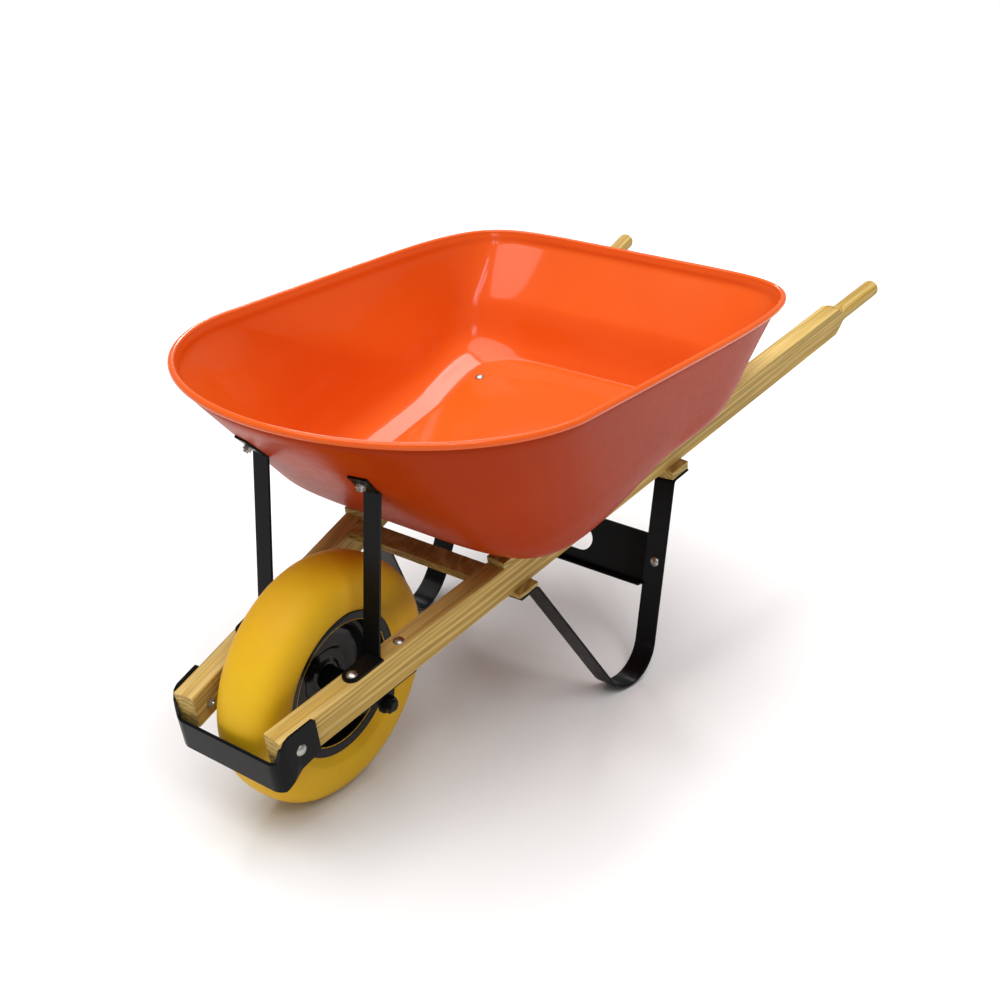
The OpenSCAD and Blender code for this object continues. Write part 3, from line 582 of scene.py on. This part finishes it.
# ---- Legs ----
def leg_line():
    outer = FOOT_R + BAR_T
    mid = FOOT_R + BAR_T / 2
    lean = sin(LEG_LEAN) * cos(SLOPE) - cos(LEG_LEAN) * sin(SPLAY) * sin(SLOPE)
    z = outer * math.sqrt(1 - lean * lean) + LEG_W / 2 * abs(lean)
    p = -FOOT_X * cos(SLOPE) - (z - DECK_Z) * sin(SLOPE)
    h = -FOOT_X * sin(SLOPE) + (z - DECK_Z) * cos(SLOPE)
    n = h / cos(LEG_LEAN)
    u = (p - (LEG_OUT - n * sin(LEG_LEAN)) * sin(SPLAY)) / cos(SPLAY)
    front, rear = Vector((-320, -12)), Vector((-691, -20))
    c = Vector((u, n))

    def touch(q, way):
        d = q - c
        return math.degrees(math.atan2(d.y, d.x)) + way * math.degrees(math.acos(mid / d.length))

    a, b = touch(front, -1), touch(rear, 1) - 360
    arc = [(u + mid * cos(a + (b - a) * i / 28), n + mid * sin(a + (b - a) * i / 28)) for i in range(29)]
    head = round_line([(-280, -12), tuple(front), arc[0]], 9)
    tail = round_line([arc[-1], tuple(rear), (-733, -20)], 9)
    return head[:-1] + arc + tail[1:]


v, f = flat_bar(leg_line(), LEG_W, BAR_T)
v = [tuple(p) for p in in_whole(LEG, [Vector(q) for q in v])]
for leg in both("leg_bar", (v, f), where=WHOLE, mat=BLACK, stands=["leg_SIDE"], slot="black_paint"):
    flatten_shading(leg)

# ---- Carried-over CAD pieces ----
def dress(node, mat, width=0.0):
    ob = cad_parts[node]
    ob.data.materials.clear()
    ob.data.materials.append(mat)
    if width:
        w = ob.modifiers.new("weld", "WELD")
        w.merge_threshold = 0.00002
        bevel(ob, width, 2, 35)


def mat_of(name):
    for key, mat in (("riser", WOODS["blocks"]), ("crossbar", WOODS["crossbar"]),
                     ("leg_block", WOODS["blocks"]), ("bush", NYLON), ("spacer", ZINC), ("axle", BLACK)):
        if name.startswith(key):
            return mat
    if "bolts" in name or "nuts" in name:
        return ZINC
    return BLACK


hidden = {"tray", "tyre", "rim_left", "rim_right", "handle_left", "handle_right", "leg_left", "leg_right"}
# A bevel would leave these open
plain = ("brace_left", "brace_right", "axle_bracket_left", "axle_bracket_right")
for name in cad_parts:
    if name not in hidden:
        dress(name, mat_of(name), 0.0 if name in plain else EASE)

# ---- Floor, light and camera ----
def stage():
    size = 30
    me = bpy.data.meshes.new("floor")
    corners = [(-size, -size, 0), (size, -size, 0), (size, size, 0), (-size, size, 0)]
    me.from_pydata(corners, [], [(0, 1, 2, 3)])
    ob = bpy.data.objects.new("floor", me)
    bpy.context.scene.collection.objects.link(ob)
    m, nodes, links, s = material("floor")
    s.inputs["Base Color"].default_value = (0.8, 0.8, 0.8, 1)
    s.inputs["Roughness"].default_value = 0.9
    me.materials.append(m)


def light(name, at, to, size, power):
    data = bpy.data.lights.new(name, "AREA")
    data.shape = "RECTANGLE"
    data.size, data.size_y = size
    data.energy = power
    ob = bpy.data.objects.new(name, data)
    bpy.context.scene.collection.objects.link(ob)
    ob.location = at
    ob.rotation_euler = (Vector(to) - Vector(at)).to_track_quat("-Z", "Y").to_euler()


stage()
sun = bpy.data.lights.new("soft_sun", "SUN")
sun.energy = 3.3
sun.angle = math.radians(60)
sun_ob = bpy.data.objects.new("soft_sun", sun)
bpy.context.scene.collection.objects.link(sun_ob)
sun_ob.rotation_euler = (-Vector((0.2, -0.02, 1.0))).to_track_quat("-Z", "Y").to_euler()
AIM = (-0.5, -0.2, 0.45)
light("floor_window", (-3.1, -2.9, 3.0), AIM, (1.3, 0.6), 48)
light("crease_band", (-2.6, -0.3, 4.4), AIM, (0.4, 1.6), 25)
light("corner_strip", (1.5, 2.7, 3.4), AIM, (0.07, 1.4), 12)
light("corner_strip_2", (2.0, 2.4, 3.4), AIM, (0.07, 1.4), 12)

world = bpy.data.worlds.new("studio")
world.use_nodes = True
world.node_tree.nodes["Background"].inputs["Color"].default_value = (1, 1, 1, 1)
world.node_tree.nodes["Background"].inputs["Strength"].default_value = 0.28
bpy.context.scene.world = world
bpy.context.scene.view_settings.view_transform = "Standard"

cam = bpy.data.cameras.new("camera")
cam.sensor_width = 36
cam.lens = 36 * 1.329937
cam.shift_x = 0.0236
cam.shift_y = -0.0054
cam_ob = bpy.data.objects.new("camera", cam)
bpy.context.scene.collection.objects.link(cam_ob)
cam_at = shift(1292.005 - MID_X, 1144.890, 1288.320)
cam_ob.matrix_world = cam_at @ turn(124.247, "Z") @ turn(65.420, "X") @ turn(2.264, "Z")
bpy.context.scene.camera = cam_ob

bpy.context.view_layer.update()
